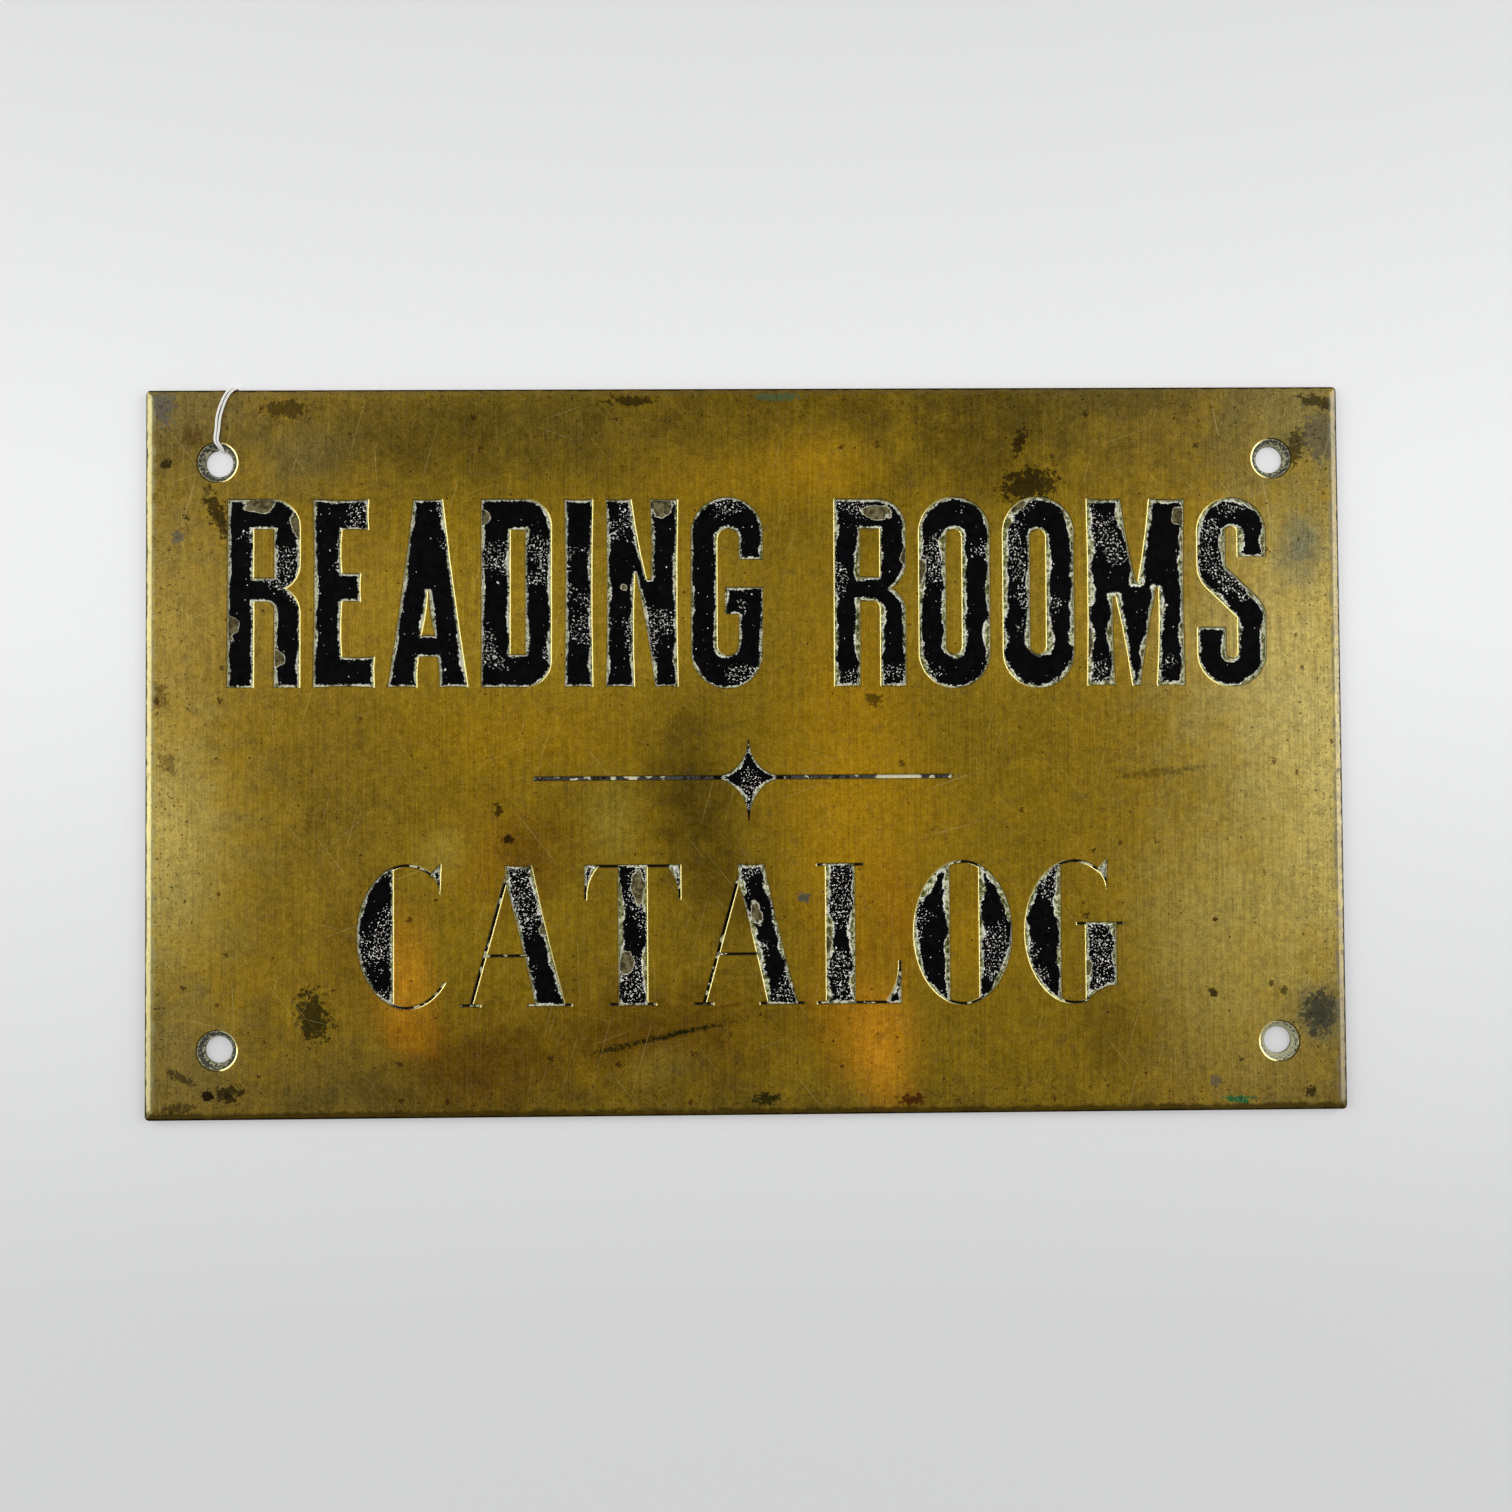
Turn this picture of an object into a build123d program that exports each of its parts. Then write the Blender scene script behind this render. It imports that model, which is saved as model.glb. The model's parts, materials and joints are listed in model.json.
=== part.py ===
"""Engraved brass door plate, lying on its back.

The face looks along +Z, the lettering runs along +X and its tops point to +Y.
The origin is the centre of the plate's flat back. Millimetres throughout.
"""
from build123d import *
import os

# Plate
PLATE_LENGTH = 300.0
PLATE_WIDTH = 182.2
PLATE_THICKNESS = 2.5
CORNER_RADIUS = 1.2
BEVEL_WIDTH = 1.7           # worn bevel round the face, measured across the face
BEVEL_DROP = 0.7            # and down the side

# Screw holes, countersunk for 90 degree wood screws
HOLE_RADIUS = 3.35
SINK_RADIUS = 5.1
HOLE_SPACING_X = 265.0
HOLE_SPACING_Y = 146.6
HOLE_CENTRE = (0.5, -0.5)   # middle of the four holes

# Engraving and its black filling
ENGRAVING_DEPTH = 0.9
FILLING_DROP = 0.2          # the filling's top lies this far below the face
BOW_RATIO = 0.03            # a straight side bows in by this part of its length,
BOW_LIMIT = 0.3             # but by no more than this

# Upper line of condensed capitals
UPPER_START = (-129.5, 16.4)
UPPER_TILT = -0.2           # the hand-cut line runs slightly downhill
UPPER_CAP = 47.0
UPPER_STEM = 7.0
UPPER_BAR = 7.5
UPPER_GAP = 3.4
WORD_GAP = 18.0

# Lower line of fat-face capitals, with thick stems and hairlines
LOWER_START = (-97.4, -63.5)
LOWER_CAP = 34.9
LOWER_STEM = 7.2
LOWER_GAP = 3.2
HAIRLINE = 0.5
OVERSHOOT = 0.5             # round letters pass the line by this much

# Ornament between the lines
STAR_CENTRE = (0.4, -6.9)
STAR_ARM_SIDE = 8.8
STAR_ARM_UP = 9.3
STAR_ARM_DOWN = 10.7
STAR_TIP = 0.3              # width of each blunt tip
RULE_WIDTH = 0.9
RULE_LEFT_END = -53.4
RULE_RIGHT_END = 51.6

# Ticket thread
THREAD_DIAMETER = 0.56
THREAD_ON_FACE = 2.84       # height of its centre line where it lies on the face
THREAD_ON_FLOOR = 0.34      # and beside the plate, where it turns back


def bowed_edge(start, end):
    """Side of a stroke, hollowed a little to the left of its direction of travel."""
    side = end - start
    bow = min(BOW_LIMIT, BOW_RATIO * side.length)
    inward = Vector(-side.Y, side.X).normalized()
    return ThreePointArc(start, (start + end) * 0.5 + inward * bow, end)


def engraved_outline(*corners):
    """Straight-sided form from corners listed anticlockwise, every side slightly hollow."""
    points = [Vector(*corner) for corner in corners]
    return make_face([bowed_edge(a, b) for a, b in zip(points, points[1:] + points[:1])])


def box_from(x0, y0, x1, y1):
    """Plain rectangle between two corners."""
    return Pos((x0 + x1) / 2, (y0 + y1) / 2) * Rectangle(x1 - x0, y1 - y0)


def rounded_box(x0, y0, x1, y1, corners, radius):
    """Rectangle with the named corners rounded, such as 'top right'."""
    shape = box_from(x0, y0, x1, y1)
    places = {"bottom left": (x0, y0), "bottom right": (x1, y0),
              "top right": (x1, y1), "top left": (x0, y1)}
    picked = []
    for corner in corners:
        picked += shape.vertices().sort_by_distance((*places[corner], 0))[:1]
    return fillet(picked, radius)


def upright_slot(x0, y0, x1, y1):
    """Upright form with straight sides and round ends."""
    return Pos((x0 + x1) / 2, (y0 + y1) / 2) * SlotOverall(y1 - y0, x1 - x0, rotation=90)


# Condensed capitals: each function returns the outline and its width

def upper_a():
    width, top = 19.9, UPPER_CAP
    outer = engraved_outline((0, 0), (7.2, 0), (7.5, 7.6), (12.4, 7.6), (12.9, 0), (width, 0),
                             (13.5, top), (6.4, top))
    return outer - engraved_outline((8.1, 12.7), (11.8, 12.7), (10.2, 24.2), (9.8, 24.2)), width


def upper_d():
    width = 17.4
    outer = rounded_box(0, 0, width, UPPER_CAP, ("bottom right", "top right"), 6.6)
    return outer - box_from(7.1, 8.0, 11.0, UPPER_CAP - UPPER_BAR), width


def upper_e():
    width, stem, bar, top = 15.2, UPPER_STEM, UPPER_BAR, UPPER_CAP
    arm_low, arm_high = 21.5, 28.5
    return engraved_outline((0, 0), (width, 0), (width, bar), (stem, bar), (stem, arm_low),
                            (0.77 * width, arm_low), (0.77 * width, arm_high), (stem, arm_high),
                            (stem, top - bar), (0.9 * width, top - bar), (0.9 * width, top),
                            (0, top)), width


def upper_g():
    width, bar_low, bar_high, terminal = 18.0, 18.2, 24.8, 32.0
    ring = upright_slot(0, -OVERSHOOT, width, UPPER_CAP + OVERSHOOT)
    ring -= upright_slot(6.4, 7.6, 12.0, UPPER_CAP - 7.2)
    ring -= box_from(9.0, bar_high, width + 1, terminal)
    return ring + box_from(8.5, bar_low, width, bar_high), width


def upper_i():
    return engraved_outline((0, 0), (UPPER_STEM, 0), (UPPER_STEM, UPPER_CAP), (0, UPPER_CAP)), UPPER_STEM


def upper_m():
    width, top = 24.5, UPPER_CAP
    return engraved_outline((0, 0), (6.9, 0), (6.4, 22.5), (7.3, 22.5), (11.4, 0), (13.2, 0),
                            (17.4, 24.8), (18.2, 24.8), (17.6, 0), (width, 0), (width, top),
                            (15.8, top), (12.9, 26.0), (12.2, 26.0), (8.4, top), (0, top)), width


def upper_n():
    width, top = 17.9, UPPER_CAP
    return engraved_outline((0, 0), (7.0, 0), (7.0, 28.4), (7.5, 28.4), (12.3, 0), (width, 0),
                            (width, top), (11.0, top), (11.3, 26.8), (10.0, 26.8), (6.2, top),
                            (0, top)), width


def upper_o():
    width = 17.8
    outer = upright_slot(0, -OVERSHOOT, width, UPPER_CAP + OVERSHOOT)
    return outer - upright_slot(6.7, 7.8, 10.9, UPPER_CAP - 7.4), width


def upper_r():
    width = 17.9
    bowl = rounded_box(0, 23.9, width, UPPER_CAP, ("bottom right", "top right"), 7.0)
    legs = rounded_box(0, 0, width, 25.5, ("top right",), 7.0)
    gap = rounded_box(6.4, -1, 11.6, 21.5, ("top right",), 2.0)
    return bowl + legs - box_from(6.3, 27.3, 11.5, 39.7) - gap, width


def upper_s():
    width = 17.2
    near, far = UPPER_STEM / 2, width - UPPER_STEM / 2
    low, high = UPPER_BAR / 2 - OVERSHOOT, UPPER_CAP - UPPER_BAR / 2 + OVERSHOOT
    route = [(near, 14.5), (near, low), (far, low), (far, 18.6), (near, 28.4), (near, high),
             (far, high), (far, 32.5)]
    spine = FilletPolyline(*route, radius=[5.0, 5.0, 4.2, 4.2, 5.0, 5.0])
    return trace(spine, UPPER_STEM), width


# Fat-face capitals

def hairline_bar(x0, x1, y):
    """Thin level stroke, such as a serif, from x0 to x1 with its lower side at y."""
    return box_from(x0, y, x1, y + HAIRLINE)


def lower_a():
    width, top = 27.6, LOWER_CAP
    thin_leg = Polygon((2.1, 0), (2.8, 0), (11.6, 31.5), (11.0, 32.0), align=None)
    thick_leg = engraved_outline((18.6, 0), (25.9, 0), (17.6, top), (11.1, top), (11.1, 31.2))
    feet = hairline_bar(0, 4.9, 0) + hairline_bar(16.5, width, 0)
    return thin_leg + thick_leg + feet + hairline_bar(5.8, 16.5, 12.3), width


def crescent_pair(width, counter_low, counter_high):
    """Round letter: an ellipse around an upright counter with straight sides."""
    middle = LOWER_CAP / 2
    half_height = middle + OVERSHOOT
    outer = Pos(width / 2, middle) * Ellipse(width / 2, half_height)
    inner = Pos(width / 2, middle) * Ellipse(width / 2 - HAIRLINE, half_height - HAIRLINE)
    return outer - (inner & box_from(counter_low, -1, counter_high, LOWER_CAP + 1))


def beak(x, y, reach, height):
    """Wedge serif with an upright outer side at x. Its broad end is at y; reach and height are signed."""
    tip = (x + reach * 0.14, y + height)
    curve = ThreePointArc((x + reach, y), (x + reach * 0.42, y + height * 0.36), tip)
    return make_face([curve, Polyline(tip, (x, y + height), (x, y), (x + reach, y))])


def hanging_beak(x, y):
    """Three-cornered beak at the upper end of a round letter's hairline; x and y are its top corner."""
    elbow, tip = (x - 2.6, y - 2.6), (x - 0.3, y - 7.0)
    hollow = ThreePointArc(elbow, (x - 1.1, y - 4.4), tip)
    return make_face([Line((x, y), elbow), hollow, Line(tip, (x, y))])


def open_round(mouth_left, mouth_low, mouth_high):
    """Round letter, thick on the left and thin on the right, open between two heights on the right."""
    width = 24.9
    letter = crescent_pair(width, 9.0, width - HAIRLINE)
    return letter - box_from(mouth_left, mouth_low, width + 1, mouth_high)


def lower_c():
    return open_round(16.9, 6.0, 32.3) + hanging_beak(20.9, LOWER_CAP + 0.6), 22.6


def lower_g():
    width, stem_top, stem_left, stem_right = 24.9, 19.2, 15.3, 22.9
    foot_left, foot_right = (stem_left, 0.2), (stem_right, 4.1)
    stem = make_face([ThreePointArc(foot_left, (18.6, 2.9), foot_right),
                      Polyline(foot_right, (stem_right, stem_top), (stem_left, stem_top), foot_left)])
    letter = open_round(16.0, 0.2, 32.3) + stem + hairline_bar(13.0, width, stem_top)
    return letter + hanging_beak(20.9, LOWER_CAP + 0.6), width


def lower_l():
    width, stem_left = 21.0, 2.3
    stem = box_from(stem_left, 0, stem_left + LOWER_STEM, LOWER_CAP)
    serifs = hairline_bar(0, 11.7, LOWER_CAP - HAIRLINE) + hairline_bar(0, width, 0)
    return stem + serifs + beak(width, 0, -4.2, 10.5), width


def lower_o():
    width = 24.7
    return crescent_pair(width, 9.0, width - 8.2), width


def lower_t():
    width = 24.0
    stem = box_from((width - LOWER_STEM) / 2, 0, (width + LOWER_STEM) / 2, LOWER_CAP)
    serifs = hairline_bar(0, width, LOWER_CAP - HAIRLINE) + hairline_bar(6.2, width - 6.2, 0)
    return stem + serifs + beak(0, LOWER_CAP, 3.6, -8.6) + beak(width, LOWER_CAP, -3.6, -8.6), width


# Layout of the engraving

UPPER_WORDS = ((upper_r, upper_e, upper_a, upper_d, upper_i, upper_n, upper_g),
               (upper_r, upper_o, upper_o, upper_m, upper_s))
LOWER_WORDS = ((lower_c, lower_a, lower_t, lower_a, lower_l, lower_o, lower_g),)


def set_line(line_name, words, start, tilt, gap, word_gap):
    """Places a line of letters from its left end. Returns the outlines by node name."""
    placed = {}
    x = 0.0
    for word in words:
        for glyph in word:
            outline, width = glyph()
            label = f"{line_name}_letter_{len(placed) + 1:02d}_{glyph.__name__[-1]}"
            placed[label] = Pos(*start) * Rot(0, 0, tilt) * Pos(x, 0) * outline
            x += width + gap
        x += word_gap - gap
    return placed


def star_outline():
    """Four-pointed star: a box with a quarter ellipse taken out of each corner."""
    x, y = STAR_CENTRE
    star = box_from(x - STAR_ARM_SIDE, y - STAR_ARM_DOWN, x + STAR_ARM_SIDE, y + STAR_ARM_UP)
    for side in (-STAR_ARM_SIDE, STAR_ARM_SIDE):
        for rise in (STAR_ARM_UP, -STAR_ARM_DOWN):
            hollow = Ellipse(abs(side) - STAR_TIP / 2, abs(rise) - STAR_TIP / 2)
            star -= Pos(x + side, y + rise) * hollow
    return star


def rule_outline(outer_end):
    """Thin rule with round ends, from its outer end to the star's centre."""
    x, y = STAR_CENTRE
    return Pos((outer_end + x) / 2, y) * SlotOverall(abs(x - outer_end), RULE_WIDTH)


def ornament():
    """Star with a thin rule running out of it to each side. Returns the outlines by node name."""
    star = star_outline()
    return {"star": star,
            "rule_left": rule_outline(RULE_LEFT_END) - star,
            "rule_right": rule_outline(RULE_RIGHT_END) - star}


def engraving_outlines():
    """Every engraved outline on the plate, by node name."""
    upper = set_line("upper", UPPER_WORDS, UPPER_START, UPPER_TILT, UPPER_GAP, WORD_GAP)
    lower = set_line("lower", LOWER_WORDS, LOWER_START, 0.0, LOWER_GAP, 0.0)
    return {**upper, **lower, **ornament()}


# Solids

def plate_blank():
    """Flat plate with a mitred bevel round its face and rounded upright corners."""
    side_top = PLATE_THICKNESS - BEVEL_DROP
    inner = Plane.XY.offset(PLATE_THICKNESS) * Rectangle(PLATE_LENGTH - 2 * BEVEL_WIDTH,
                                                         PLATE_WIDTH - 2 * BEVEL_WIDTH)
    outer = Plane.XY.offset(side_top) * Rectangle(PLATE_LENGTH, PLATE_WIDTH)
    slab = extrude(Rectangle(PLATE_LENGTH, PLATE_WIDTH), side_top) + loft([outer, inner], ruled=True)
    rounding = extrude(RectangleRounded(PLATE_LENGTH, PLATE_WIDTH, CORNER_RADIUS), PLATE_THICKNESS)
    return slab & rounding


def screw_hole_places():
    """Centres of the four screw holes."""
    x, y = HOLE_CENTRE
    return [(x + across * HOLE_SPACING_X / 2, y + up * HOLE_SPACING_Y / 2)
            for across in (-1, 1) for up in (-1, 1)]


def countersunk_cutter():
    """Through hole with a 90 degree countersink in the face."""
    shank = extrude(Circle(HOLE_RADIUS), PLATE_THICKNESS)
    depth = SINK_RADIUS - HOLE_RADIUS
    sink = Cone(HOLE_RADIUS, SINK_RADIUS, depth, align=(Align.CENTER, Align.CENTER, Align.MIN))
    return shank + Pos(0, 0, PLATE_THICKNESS - depth) * sink


def engraved_plate(outlines):
    """The brass plate with its screw holes and every recess."""
    plate = plate_blank()
    for place in screw_hole_places():
        plate -= Pos(*place) * countersunk_cutter()
    floor = PLATE_THICKNESS - ENGRAVING_DEPTH
    for outline in outlines.values():
        plate -= Pos(0, 0, floor) * extrude(outline, ENGRAVING_DEPTH)
    return plate


def filling(outline):
    """The black filling of one recess, from its floor to just below the face."""
    floor = PLATE_THICKNESS - ENGRAVING_DEPTH
    return Pos(0, 0, floor) * extrude(outline, ENGRAVING_DEPTH - FILLING_DROP)


# Thread: one length of twine, doubled, that comes up through the upper left hole, crosses the
# face and goes over the top edge, where it turns back. Its solid starts and ends on the
# countersink, over the hole's wall, clear of a screw in the hole.

def around_hole(radius, angle, z):
    """Point near the upper left hole, from its centre's distance and direction in degrees."""
    x, y = HOLE_CENTRE[0] - HOLE_SPACING_X / 2, HOLE_CENTRE[1] + HOLE_SPACING_Y / 2
    offset = Vector(radius, 0).rotate(Axis.Z, angle)
    return (x + offset.X, y + offset.Y, z)


THREAD_ROUTE = [
    around_hole(HOLE_RADIUS, 71, 1.25), around_hole(4.0, 77, 1.98), around_hole(5.25, 89, 3.12),
    (-131.42, 81.2, THREAD_ON_FACE), (-131.25, 84.3, THREAD_ON_FACE), (-129.45, 89.5, 2.9),
    (-127.4, 91.72, 2.25), (-127.35, 91.56, THREAD_ON_FLOOR),
    (-128.65, 91.56, THREAD_ON_FLOOR), (-128.6, 91.72, 2.25),
    (-130.15, 89.75, 2.9), (-132.1, 84.7, THREAD_ON_FACE), (-132.2, 81.1, THREAD_ON_FACE),
    around_hole(5.25, 97, 3.12), around_hole(4.0, 87, 1.98), around_hole(HOLE_RADIUS, 82, 1.25),
]


def corner_radii(route):
    """The largest arc that each corner's two runs allow: 0.45 of the shorter one."""
    points = [Vector(*point) for point in route]
    radii = []
    for before, corner, after in zip(points, points[1:], points[2:]):
        turn = (corner - before).get_angle(after - corner)
        shorter = min((corner - before).length, (after - corner).length)
        half_turn = Vector(1, 0).rotate(Axis.Z, turn / 2)
        radii.append(0.45 * shorter * half_turn.X / half_turn.Y)
    return radii


def thread():
    """Round thread swept along its route."""
    radii = corner_radii(THREAD_ROUTE)
    path = FilletPolyline(*THREAD_ROUTE, radius=radii)
    section = Plane(path @ 0, z_dir=path % 0) * Circle(THREAD_DIAMETER / 2)
    tube = sweep(section, path)
    print("thread radii", [round(radius, 2) for radius in radii])
    print("thread length", round(path.length, 1), "volume", round(tube.volume, 3),
          "section x length", round(section.area * path.length, 3))
    return tube


def main():
    os.makedirs("parts", exist_ok=True)
    outlines = engraving_outlines()
    nodes = {"plate": engraved_plate(outlines), "thread": thread()}
    nodes.update({name: filling(outline) for name, outline in outlines.items()})
    for name, shape in nodes.items():
        export_step(shape, f"parts/{name}.step")


main()
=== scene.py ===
"""Engraved brass door plate, photographed from above on a pale table.

The CAD plate stays and gets a worn edge and an aged brass surface. Each filling is replaced by a
finer one whose wax has shrunk, pitted and chipped. The ticket thread is a real cord.
The camera, lights, table and thread are placed in metres, and materials and fillings in millimetres.
"""
import json
import math

import bpy
import numpy as np
from mathutils import Matrix, Vector, geometry, noise


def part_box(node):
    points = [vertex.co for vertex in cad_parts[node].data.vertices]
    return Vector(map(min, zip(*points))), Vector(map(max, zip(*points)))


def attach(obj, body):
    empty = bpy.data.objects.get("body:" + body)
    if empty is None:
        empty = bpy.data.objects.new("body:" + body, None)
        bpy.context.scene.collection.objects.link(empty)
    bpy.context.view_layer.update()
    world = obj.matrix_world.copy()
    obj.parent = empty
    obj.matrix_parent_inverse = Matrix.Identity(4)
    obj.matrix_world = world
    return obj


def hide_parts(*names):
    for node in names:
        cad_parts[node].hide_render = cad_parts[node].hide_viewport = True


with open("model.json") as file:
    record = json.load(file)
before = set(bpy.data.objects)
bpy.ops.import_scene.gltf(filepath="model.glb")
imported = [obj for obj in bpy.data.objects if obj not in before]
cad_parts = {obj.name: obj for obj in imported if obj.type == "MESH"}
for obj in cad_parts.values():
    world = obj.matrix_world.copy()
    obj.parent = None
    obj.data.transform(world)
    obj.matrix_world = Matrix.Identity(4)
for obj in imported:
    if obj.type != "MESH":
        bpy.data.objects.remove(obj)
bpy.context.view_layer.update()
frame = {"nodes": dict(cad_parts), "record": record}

MM = 0.001
scene = bpy.context.scene

# Taken from the CAD, in mm
PLATE_CORNER = np.array(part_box("plate")[1]) / MM
FACE = PLATE_CORNER[2]                    # height of the engraved face
FILLING_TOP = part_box("star")[1][2] / MM   # height of the fillings
RECESS_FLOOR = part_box("star")[0][2] / MM
STAR_CENTRE = [(low + high) / 2 / MM for low, high in zip(*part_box("star"))]
bolts = next(mount for mount in frame["record"]["mounts"] if mount["kind"] == "bolt_pattern")
HOLE_CENTRE = np.array(bolts["pos_m"][:2]) / MM
HOLE_SPACING = np.array([bolts["dims"]["spacing_x_mm"], bolts["dims"]["spacing_y_mm"]])

EDGE_WEAR = 0.18   # rounding of every sharp edge of the plate, mm


def colour(code):
    """Linear colour from an sRGB code such as "8a6d1f"."""
    parts = [int(code[i:i + 2], 16) / 255 for i in (0, 2, 4)]
    linear = [p / 12.92 if p <= 0.04045 else ((p + 0.055) / 1.055) ** 2.4 for p in parts]
    return (*linear, 1.0)


def cos_sin(degrees):
    return math.cos(math.radians(degrees)), math.sin(math.radians(degrees))


# Camera and light

# The camera was fitted to the plate's corners and holes in the photo
CAMERA_PLACE = (-0.0034, -0.0105, 0.3819)
CAMERA_AHEAD = (0.0149, 0.0235, -0.9996)
CAMERA_UP = (0.0067, 0.9997, 0.0236)
FIELD_OF_VIEW = 53   # degrees

# Soft lights at both ends of the plate: name, place, size, watts, tint
PANELS = [
    ("left_panel", (-1.05, 0.28, 0.66), (1.4, 0.85), 8.2, (1.0, 1.0, 0.99)),
    ("right_panel", (1.08, 0.28, 0.68), (1.4, 0.85), 8.8, (1.0, 1.0, 1.0)),
]

# Sky: pairs of a direction's height and the brightness there
SKY_TINT = (0.985, 0.99, 1.0, 1.0)
SKY_HORIZON, SKY_ABOVE = (0.02, 0.85), (0.30, 0.41)

# Table: half its width, its middle line's y, and pairs of a distance from that line and the glow there
TABLE_HALF = 20.0
TABLE_MIDDLE = 0.05
TABLE_GREY, TABLE_TINT = colour("c9c9c9"), (0.98, 0.99, 1.0, 1.0)
TABLE_NEAR, TABLE_FAR = (0.02, 0.36), (0.19, 0.17)


def add_camera():
    data = bpy.data.cameras.new("camera")
    data.sensor_fit = "HORIZONTAL"
    data.lens_unit = "FOV"
    data.angle = math.radians(FIELD_OF_VIEW)
    camera = bpy.data.objects.new("camera", data)
    ahead = Vector(CAMERA_AHEAD).normalized()
    right = ahead.cross(Vector(CAMERA_UP)).normalized()
    turn = Matrix((right, right.cross(ahead), -ahead)).transposed().to_4x4()
    camera.matrix_world = Matrix.Translation(CAMERA_PLACE) @ turn
    scene.collection.objects.link(camera)
    scene.camera = camera


def add_panel(name, place, size, power, tint):
    """Soft rectangular light that looks at the plate."""
    data = bpy.data.lights.new(name, "AREA")
    data.shape = "RECTANGLE"
    data.size, data.size_y = size
    data.energy = power
    data.color = tint
    lamp = bpy.data.objects.new(name, data)
    lamp.location = place
    lamp.rotation_euler = (-Vector(place)).to_track_quat("-Z", "Y").to_euler()
    lamp.visible_camera = False
    scene.collection.objects.link(lamp)


def fade(tree, value, first, last, shape):
    """Output that runs between two pairs of a value and the result there."""
    node = tree.nodes.new("ShaderNodeMapRange")
    node.interpolation_type = shape
    tree.links.new(value, node.inputs["Value"])
    for side, pair in (("Min", first), ("Max", last)):
        node.inputs["From " + side].default_value, node.inputs["To " + side].default_value = pair
    return node.outputs["Result"]


def add_world():
    """Even grey above and a paler horizon."""
    world = bpy.data.worlds.new("studio")
    scene.world = world
    world.use_nodes = True
    tree = world.node_tree
    split = tree.nodes.new("ShaderNodeSeparateXYZ")
    tree.links.new(tree.nodes.new("ShaderNodeTexCoord").outputs["Generated"], split.inputs[0])
    strength = fade(tree, split.outputs["Z"], SKY_HORIZON, SKY_ABOVE, "SMOOTHSTEP")
    background = tree.nodes["Background"]
    background.inputs["Color"].default_value = SKY_TINT
    tree.links.new(strength, background.inputs["Strength"])


def add_floor():
    """Pale table that glows a little, most of all along its middle line."""
    mesh = bpy.data.meshes.new("table")
    corners = [(x * TABLE_HALF, y * TABLE_HALF, 0) for x, y in ((-1, -1), (1, -1), (1, 1), (-1, 1))]
    mesh.from_pydata(corners, [], [(0, 1, 2, 3)])
    floor = bpy.data.objects.new("table", mesh)
    scene.collection.objects.link(floor)
    material = bpy.data.materials.new("table")
    material.use_nodes = True
    tree = material.node_tree
    shader = tree.nodes["Principled BSDF"]
    shader.inputs["Base Color"].default_value = TABLE_GREY
    shader.inputs["Roughness"].default_value = 0.6
    shader.inputs["Specular IOR Level"].default_value = 0.2
    shader.inputs["Emission Color"].default_value = TABLE_TINT
    split = tree.nodes.new("ShaderNodeSeparateXYZ")
    tree.links.new(tree.nodes.new("ShaderNodeTexCoord").outputs["Object"], split.inputs[0])
    centred = tree.nodes.new("ShaderNodeMath")
    centred.operation = "SUBTRACT"
    centred.inputs[1].default_value = TABLE_MIDDLE
    tree.links.new(split.outputs["Y"], centred.inputs[0])
    away = tree.nodes.new("ShaderNodeMath")
    away.operation = "ABSOLUTE"
    tree.links.new(centred.outputs[0], away.inputs[0])
    glow = fade(tree, away.outputs[0], TABLE_NEAR, TABLE_FAR, "LINEAR")
    tree.links.new(glow, shader.inputs["Emission Strength"])
    mesh.materials.append(material)


# Materials, with every length in mm

SEED_STEP = (17.3, -9.1, 5.7)   # how far apart in its texture two seeds of a noise lie
HAIR_WAVES = (0.03, 3.2)        # waves a millimetre along and across fine scratches


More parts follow.
